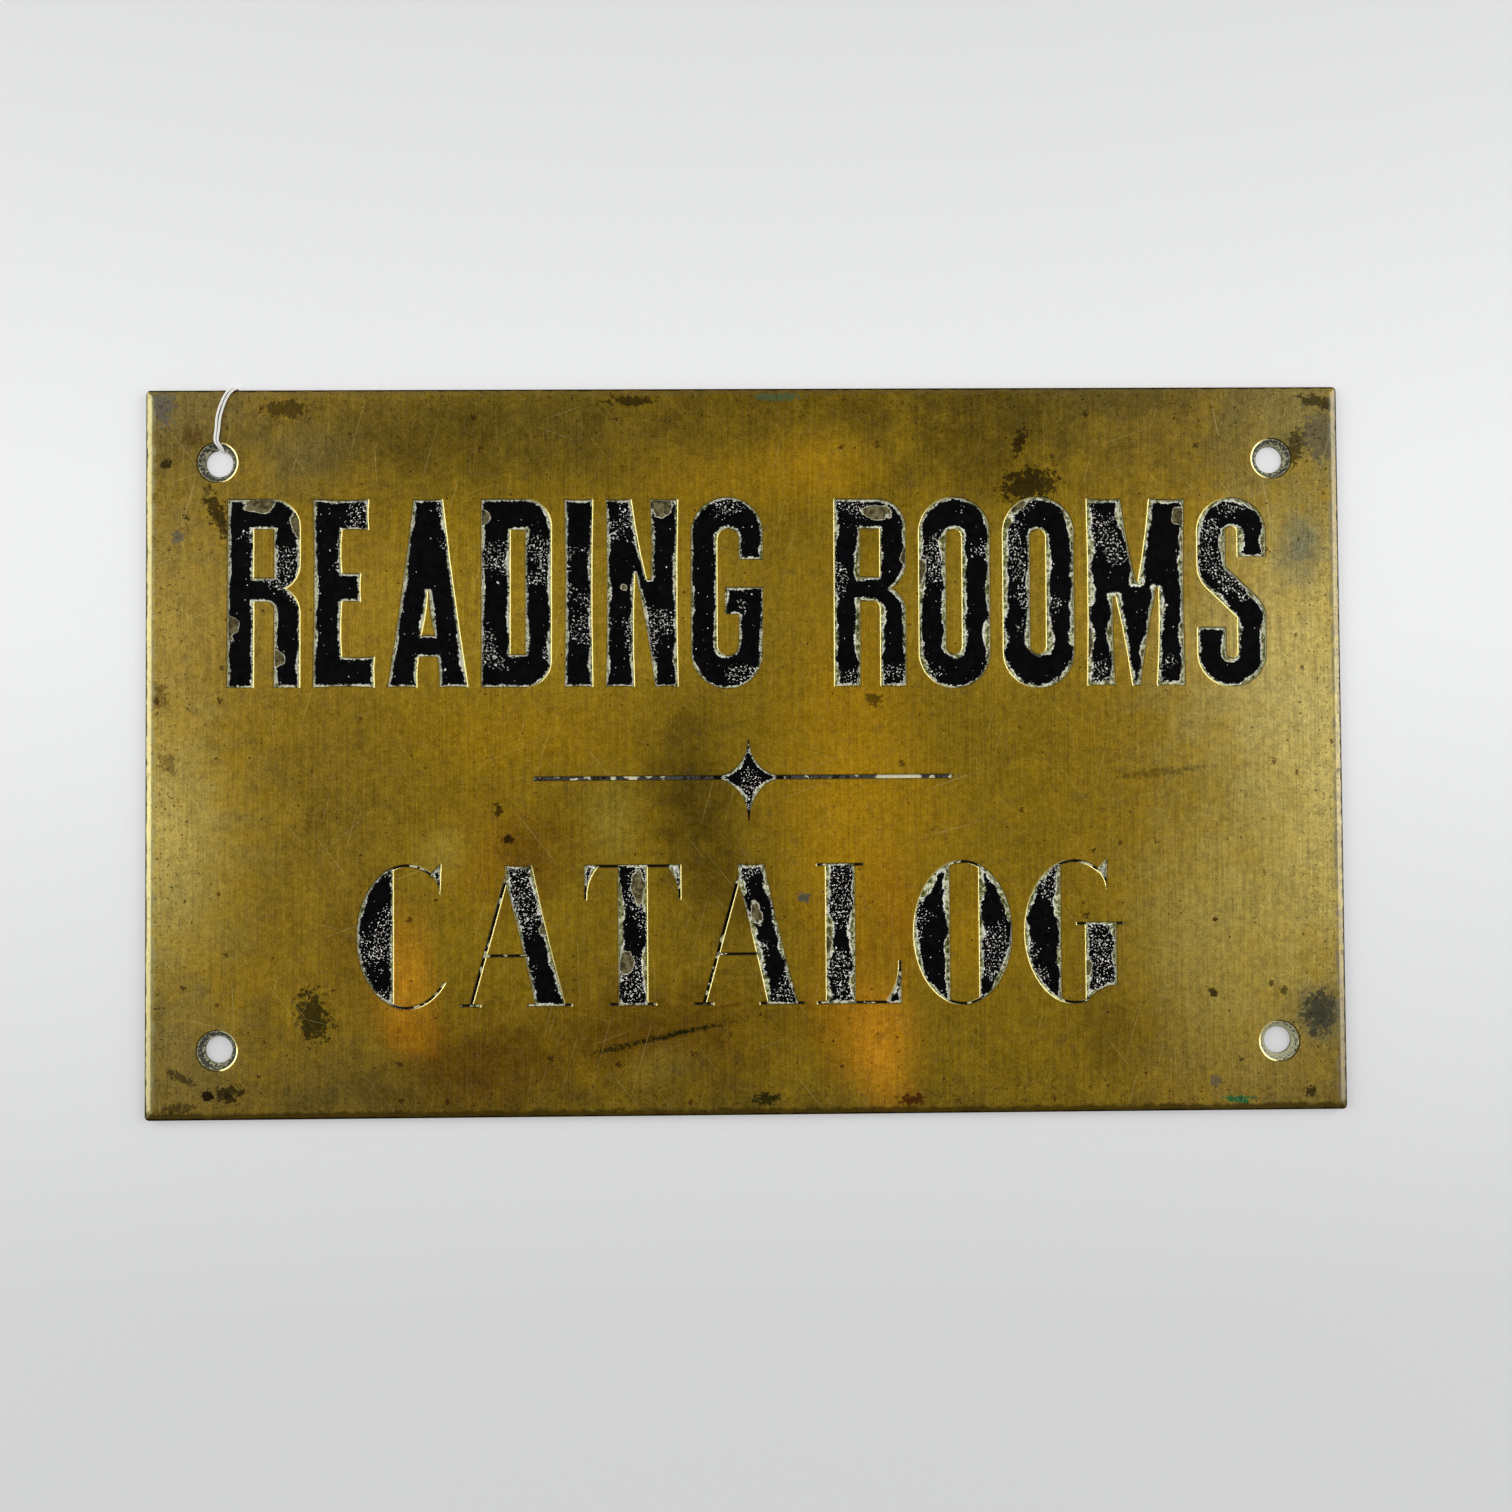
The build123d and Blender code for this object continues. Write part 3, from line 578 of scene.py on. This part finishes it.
def black_wax():
    """Hard black wax full of pits, with dried polish where it has shrunk from the brass."""
    paint = Paint("black_wax")
    ragged = paint.ramp(paint.noise(1.7, 11, detail=4, rough=0.75), 0.25, 0.75, -0.36, 0.36)
    margin = paint.add(paint.field("margin"), ragged)
    chip = paint.add(paint.field("chip"), paint.times(ragged, 0.5))
    hairline = paint.field("hairline")

    # Pits with dried polish in them: short dashes thick in some patches, and single dots elsewhere
    worms = paint.noise(1.2, 12, detail=1)
    on_line = paint.ramp(paint.math("ABSOLUTE", paint.math("SUBTRACT", worms, 0.5)), 0.038, 0.024)
    patch = paint.noise(0.06, 14, detail=2)
    lower_line = paint.ramp(paint.y, -20, -26, 0.0, 0.09)
    in_star = paint.blot(STAR_CENTRE[0], STAR_CENTRE[1], 5.5, 6.0)
    sparse = paint.ramp(paint.add(patch, lower_line, paint.times(in_star, 0.2)), 0.54, 0.61, 0.24, 0.01)
    cut = paint.ramp(paint.math("SUBTRACT", paint.noise(1.7, 13, detail=1), sparse), 0.515, 0.54)
    dashes = paint.times(on_line, cut)
    uneven = paint.swing(paint.noise(3.2, 18, detail=1), 0.7)
    dots = paint.most(paint.spots(2.3, 0.12, 0.14, 4.3, uneven), paint.spots(7, 0.28, 0.14, 6.9, uneven))
    deep = paint.ramp(paint.noise(0.6, 16, detail=3), 0.3, 0.7)
    wax = paint.mix(deep, colour("010101"), colour("08080a"))
    wax = paint.mix(paint.most(dashes, dots), wax, colour("fffdf2"))

    # Bare band between wax and wall, crusted most at the upper left and least at the lower left,
    # and the pale line along the wax's edge
    green = paint.noise(0.8, 17, detail=4, rough=0.7)
    band = paint.mix(paint.ramp(green, 0.4, 0.52), colour("5a582a"), colour("9d9e66"))
    crumbly = paint.times(paint.ramp(paint.x, 10, -60), paint.ramp(paint.y, -20, 0, -0.1, 0.08))
    crust = paint.ramp(paint.add(green, crumbly), 0.51, 0.57)
    band = paint.mix(crust, band, colour("f0f0cf"))
    body = paint.mix(paint.ramp(margin, 0.02, 0.08), band, wax)
    ridge = paint.ramp(paint.math("ABSOLUTE", margin), 0.24, 0.14)
    ridge = paint.times(ridge, paint.ramp(paint.noise(0.6, 19, detail=3), 0.42, 0.5, 0.05, 1.0))
    body = paint.mix(ridge, body, colour("fffff2"))

    # Chips down to the bare recess, each outlined by a pale line
    body = paint.mix(paint.ramp(chip, 0.03, -0.03), body,
                     paint.mix(paint.ramp(green, 0.4, 0.6), colour("453c26"), colour("7b7350")))
    chip_line = paint.ramp(paint.math("ABSOLUTE", chip), 0.12, 0.05)
    body = paint.mix(paint.times(chip_line, 0.85), body, colour("e2dfc8"))

    # Hairlines: dark in some stretches and pale in others
    stretch = paint.ramp(paint.noise(0.4, 20, detail=3), 0.57, 0.61)
    stretch = paint.most(stretch, paint.blot(38, -7, 6, 1.5, soft=0.1))
    thin = paint.mix(stretch, colour("0f0a06"), colour("dcd7b4"))
    body = paint.mix(hairline, body, thin)

    paint.feed(paint.shader.inputs["Base Color"], body)
    paint.feed(paint.shader.inputs["Roughness"], paint.ramp(green, 0.3, 0.7, 0.45, 0.7))
    paint.shader.inputs["Specular IOR Level"].default_value = 0.04
    height = paint.add(worms, paint.times(green, 0.8))
    paint.feed(paint.shader.inputs["Normal"], paint.bump(height, 0.05, 0.6))
    return paint.material


def cotton():
    """White twisted cotton, a little dirty."""
    paint = Paint("cotton")
    fibres = paint.noise((6, 6, 6), 31, detail=3)
    paint.feed(paint.shader.inputs["Base Color"],
               paint.mix(paint.ramp(fibres, 0.3, 0.7), colour("f0ede2"), colour("ffffff")))
    paint.shader.inputs["Roughness"].default_value = 0.85
    paint.shader.inputs["Sheen Weight"].default_value = 0.3
    paint.feed(paint.shader.inputs["Normal"], paint.bump(fibres, 0.03, 0.8))
    return paint.material


# Plate

WEAR_STEPS = 4        # facets across a worn edge
WELD_GAP = 0.005      # corners closer than this are one, mm
FLAT_ANGLE = 0.5      # faces that meet at less than this are one, degrees
SHARP_ANGLE = 40      # edges sharper than this are worn, degrees


def finish_plate(material):
    """Worn edges and aged brass on the CAD plate."""
    plate = frame["nodes"]["plate"]
    weld = plate.modifiers.new("weld", "WELD")
    weld.merge_threshold = WELD_GAP * MM
    flat = plate.modifiers.new("flat", "DECIMATE")
    flat.decimate_type = "DISSOLVE"
    flat.angle_limit = math.radians(FLAT_ANGLE)
    wear = plate.modifiers.new("wear", "BEVEL")
    wear.width = EDGE_WEAR * MM
    wear.segments = WEAR_STEPS
    wear.limit_method = "ANGLE"
    wear.angle_limit = math.radians(SHARP_ANGLE)
    wear.use_clamp_overlap = False
    plate.data.materials.clear()
    plate.data.materials.append(material)


# Fillings, with every length in mm

GRID = 0.42                # spacing of a filling's surface points
JITTER = 0.3               # share of that spacing by which they are moved
WAX_SINK = 0.06            # the worn wax lies this far below the CAD filling's top
BARE_HEIGHT = 0.12         # a bare band or chip lies this far above the recess floor
BOTTOM_GAP = 0.01          # and the filling's bottom this far
BARE_WIDTH = (0.08, 1.9)   # narrowest and widest bare band
BARE_SHARE = 0.26          # widest bare band, as a share of the stroke
HAIRLINE = (0.8, 1.4)      # strokes up to this wide are hairlines, and those from this wide aren't
TOUCHING = 1e-4            # points closer to the outline than this lie on it
NO_SIDE = 1e3              # width of a stroke that has no opposite side

# Chips, where the wax is gone down to its bed: x, y, half width, half height, turn
CHIPS = [
    (-121.5, 62.6, 4.2, 1.9, 0), (-111.6, 57.0, 1.9, 4.2, 8), (-129.6, 31.5, 2.6, 3.2, 0),
    (-117.2, 23.5, 1.8, 1.9, 10), (-69.9, 45.0, 1.4, 1.9, 0), (-66.2, 58.8, 2.0, 2.4, 20),
    (-21.4, 61.8, 3.0, 2.6, 0), (-30.6, 41.0, 0.8, 0.9, 45), (33.2, 59.6, 3.6, 1.9, -4),
    (40.2, 48.6, 1.1, 2.2, 0), (43.6, 45.0, 1.5, 3.4, 0), (68.4, 61.0, 2.4, 1.4, 30),
    (85.9, 27.0, 1.6, 4.0, 0), (110.0, 58.5, 1.9, 2.4, 0), (-50.6, -44.6, 1.5, 1.9, 0),
    (-27.4, -34.6, 1.5, 4.4, 0), (-30.6, -53.0, 1.6, 3.0, 0), (2.0, -40.5, 1.3, 3.2, 15),
    (19.6, -49.0, 1.4, 2.6, 0), (84.8, -55.0, 1.5, 2.2, 0),
]


def top_outline(node):
    """Start and end points of the edges round a node's top face: two arrays."""
    mesh = node.data
    points = np.array([vertex.co for vertex in mesh.vertices]) / MM
    top = points[:, 2].max()
    edges = {}
    for face in mesh.polygons:
        if all(points[i, 2] > top - 0.01 for i in face.vertices):
            corners = [tuple(np.round(points[i, :2], 3)) for i in face.vertices]
            for pair in zip(corners, corners[1:] + corners[:1]):
                edges[frozenset(pair)] = edges.get(frozenset(pair), []) + [pair]
    border = [pairs[0] for pairs in edges.values() if len(pairs) == 1 and pairs[0][0] != pairs[0][1]]
    return np.array([a for a, b in border]), np.array([b for a, b in border])


def divided(starts, ends, longest):
    """The same edges, each cut into pieces no longer than longest."""
    firsts, lasts = [], []
    for start, end in zip(starts, ends):
        count = max(1, math.ceil(np.linalg.norm(end - start) / longest))
        cuts = start + (end - start) * np.linspace(0, 1, count + 1)[:, None]
        firsts.extend(cuts[:-1])
        lasts.extend(cuts[1:])
    return np.array(firsts), np.array(lasts)


def inside(points, starts, ends):
    """True for each point that lies inside the outline, by counting crossings to its right."""
    x, y = points[:, None, 0], points[:, None, 1]
    crosses = (starts[:, 1] > y) != (ends[:, 1] > y)
    rise = np.where(ends[:, 1] == starts[:, 1], 1.0, ends[:, 1] - starts[:, 1])
    at = starts[:, 0] + (y - starts[:, 1]) * (ends[:, 0] - starts[:, 0]) / rise
    return (crosses & (at > x)).sum(axis=1) % 2 == 1


def nearest(points, starts, ends):
    """Each point's distance to the outline, and the direction straight in from there.
    The outline runs with its inside on the left."""
    along = ends - starts
    share = ((points[:, None] - starts) * along).sum(-1) / np.maximum((along ** 2).sum(-1), 1e-12)
    foot = starts + np.clip(share, 0, 1)[..., None] * along
    gap = np.linalg.norm(points[:, None] - foot, axis=-1)
    best = gap.argmin(axis=1)
    rows = np.arange(len(points))
    distance = gap[rows, best][:, None]
    inward = np.column_stack([-along[best, 1], along[best, 0]])
    inward /= np.linalg.norm(inward, axis=1)[:, None]
    away = (points - foot[rows, best]) / np.maximum(distance, TOUCHING)
    return distance[:, 0], np.where(distance > TOUCHING, away, inward)


def stroke_width(points, distance, away, starts, ends):
    """Width of the stroke at each point, measured straight across from the nearest side."""
    along = ends - starts
    offset = starts - points[:, None]
    cross = away[:, None, 0] * along[:, 1] - away[:, None, 1] * along[:, 0]
    cross = np.where(np.abs(cross) < 1e-9, 1e-9, cross)
    ahead = (offset[..., 0] * along[:, 1] - offset[..., 1] * along[:, 0]) / cross
    share = (offset[..., 0] * away[:, None, 1] - offset[..., 1] * away[:, None, 0]) / cross
    hit = (ahead > TOUCHING) & (share >= 0) & (share <= 1)
    return distance + np.where(hit, ahead, NO_SIDE).min(axis=1)


def smooth(value, low, high):
    """Smooth step from 0 at low to 1 at high. low may be the larger."""
    share = np.clip((value - low) / (high - low), 0, 1)
    return share * share * (3 - 2 * share)


def noise_at(points, wave, seed):
    """Noise about 0 at each point, with features wave across."""
    return np.array([noise.noise(Vector((x / wave + 7.7 * seed, y / wave - 3.1 * seed, 1.9 * seed)))
                     for x, y in points])


def chip_distance(points):
    """Signed distance from the nearest chip's edge, negative inside it."""
    best = np.full(len(points), 9.0)
    ripple = 0.45 * noise_at(points, 2.6, 5) + 0.2 * noise_at(points, 1.0, 6)
    for x, y, across, along, turn in CHIPS:
        c, s = cos_sin(turn)
        local = (points - (x, y)) @ np.array([[c, -s], [s, c]])
        ratio = np.linalg.norm(local / (across, along), axis=1) + ripple
        best = np.minimum(best, (ratio - 1) * min(across, along))
    return best


def surface_mesh(starts, ends, extra):
    """Triangles inside the outline, with the extra points as corners too."""
    corners = np.concatenate([starts, ends])
    keys, index = np.unique(np.round(corners, 4), axis=0, return_inverse=True)
    index = index.reshape(-1)
    edges = [(int(a), int(b)) for a, b in zip(index[:len(starts)], index[len(starts):])]
    given = [Vector(point) for point in keys] + [Vector(point) for point in extra]
    # With 0 it keeps all its triangles, and corners within 1e-5 are one
    made = geometry.delaunay_2d_cdt(given, edges, [], 0, 1e-5)
    points = np.array([(p.x, p.y) for p in made[0]])
    faces = np.array([face for face in made[2] if len(face) == 3])
    keep = inside(points[faces].mean(axis=1), starts, ends)
    return points, faces[keep]


def inner_points(starts, ends):
    """Slightly scattered grid of points inside the outline, none of them close to it."""
    low, high = starts.min(axis=0), starts.max(axis=0)
    xs, ys = (np.arange(a + GRID / 2, b, GRID) for a, b in zip(low, high))
    grid = np.stack(np.meshgrid(xs, ys), axis=-1).reshape(-1, 2)
    scatter = [[math.sin(12.9 * i), math.cos(7.3 * i)] for i in range(len(grid))]
    grid += JITTER * GRID * np.array(scatter)
    grid = grid[inside(grid, starts, ends)]
    gap, _ = nearest(grid, starts, ends)
    return grid[gap > 0.45 * GRID]


def worn_surface(points, starts, ends):
    """Height of the worn wax at each point, and three fields for its material: distance from
    the wax's own edge, distance from a chip's edge, and 1 in hairlines."""
    distance, away = nearest(points, starts, ends)
    width = stroke_width(points, distance, away, starts, ends)
    upright = np.abs(away[:, 0])   # 1 beside an upright wall

    # Bare bands are wide along upright walls, on the right, and in all but the left of the lower line
    looseness = 0.65 + 0.6 * smooth(points[:, 0], -10, 50)
    looseness += 0.65 * smooth(points[:, 1], 0, -20) * smooth(points[:, 0], -75, -35)
    bare = 0.3 + 0.25 * upright + (0.4 + 0.8 * upright) * noise_at(points, 6.0, 1)
    bare = np.minimum(looseness, 1.5) * (bare + 0.35 * noise_at(points, 1.7, 2))
    bare = np.minimum(np.clip(bare, *BARE_WIDTH), BARE_SHARE * width)

    margin = distance - bare
    chip = chip_distance(points)
    hairline = smooth(width, HAIRLINE[1], HAIRLINE[0])
    full = np.maximum(smooth(margin, -0.15, 0.35) * smooth(chip, -0.1, 0.3), 0.8 * hairline)
    floor = RECESS_FLOOR + BARE_HEIGHT + 0.05 * noise_at(points, 0.9, 3)
    worn_top = FILLING_TOP - WAX_SINK - 0.05 * noise_at(points, 2.2, 4)
    heights = floor + (worn_top - floor) * full
    return heights, {"margin": margin, "chip": chip, "hairline": hairline}


def closed_body(points, heights, faces):
    """Corners and faces of a body with a worn top, a plain bottom and walls between them."""
    sides = dict.fromkeys(pair for a, b, c in faces for pair in ((a, b), (b, c), (c, a)))
    rim = [(a, b) for a, b in sides if (b, a) not in sides]
    count = len(points)
    top = np.column_stack([points, heights])
    bottom = np.column_stack([points, np.full(count, RECESS_FLOOR + BOTTOM_GAP)])
    body = faces + [[i + count for i in reversed(face)] for face in faces]
    body += [(b, a, a + count, b + count) for a, b in rim]
    return np.concatenate([top, bottom]), body


def filling(node, material):
    """Replaces a CAD filling by one with a worn top. Its outline and depth stay the same."""
    starts, ends = divided(*top_outline(node), GRID)
    points, faces = surface_mesh(starts, ends, inner_points(starts, ends))
    heights, fields = worn_surface(points, starts, ends)
    corners, body = closed_body(points, heights, faces.tolist())
    mesh = bpy.data.meshes.new(node.name + "_wax")
    mesh.from_pydata((corners * MM).tolist(), [], body)
    for name, values in fields.items():
        layer = mesh.attributes.new(name, "FLOAT", "POINT")
        layer.data.foreach_set("value", np.concatenate([values, values]).astype(np.float32))
    mesh.materials.append(material)
    piece = bpy.data.objects.new(node.name + "_wax", mesh)
    scene.collection.objects.link(piece)
    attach(piece, "root")
    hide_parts(node.name)


# Thread, in metres: up through the upper left hole, across the face, over the top edge and back

THREAD_DIAMETER = 0.00056
THREAD_ROUTE = [
    (-0.130974, 0.075619, 0.00030), (-0.130960, 0.075650, 0.00085),
    (-0.130909, 0.075968, 0.00125), (-0.131100, 0.076697, 0.00198), (-0.131908, 0.078049, 0.00312),
    (-0.131420, 0.081200, 0.00284), (-0.131250, 0.084300, 0.00284), (-0.129450, 0.089500, 0.00290),
    (-0.127400, 0.091720, 0.00225), (-0.127350, 0.091560, 0.00034),
    (-0.128650, 0.091560, 0.00034), (-0.128600, 0.091720, 0.00225),
    (-0.130150, 0.089750, 0.00290), (-0.132100, 0.084700, 0.00284), (-0.132200, 0.081100, 0.00284),
    (-0.132640, 0.078011, 0.00312), (-0.131791, 0.076795, 0.00198), (-0.131534, 0.076117, 0.00125),
    (-0.131640, 0.075810, 0.00085), (-0.131686, 0.075784, 0.00030),
]


def add_thread(material):
    curve = bpy.data.curves.new("ticket_thread", "CURVE")
    curve.dimensions = "3D"
    curve.resolution_u = 10
    curve.bevel_depth = THREAD_DIAMETER / 2
    curve.bevel_resolution = 4
    curve.use_fill_caps = True
    spline = curve.splines.new("NURBS")
    spline.points.add(len(THREAD_ROUTE) - 1)
    for point, place in zip(spline.points, THREAD_ROUTE):
        point.co = (*place, 1.0)
    spline.order_u = 3
    spline.use_endpoint_u = True
    curve.materials.append(material)
    thread = bpy.data.objects.new("ticket_thread", curve)
    scene.collection.objects.link(thread)
    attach(thread, "root")
    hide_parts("thread")


def main():
    add_camera()
    add_thread(cotton())
    add_world()
    for panel in PANELS:
        add_panel(*panel)
    add_floor()
    scene.view_settings.view_transform = "Standard"
    finish_plate(aged_brass())
    wax = black_wax()
    for name, node in frame["nodes"].items():
        if name not in ("plate", "thread"):
            filling(node, wax)


main()
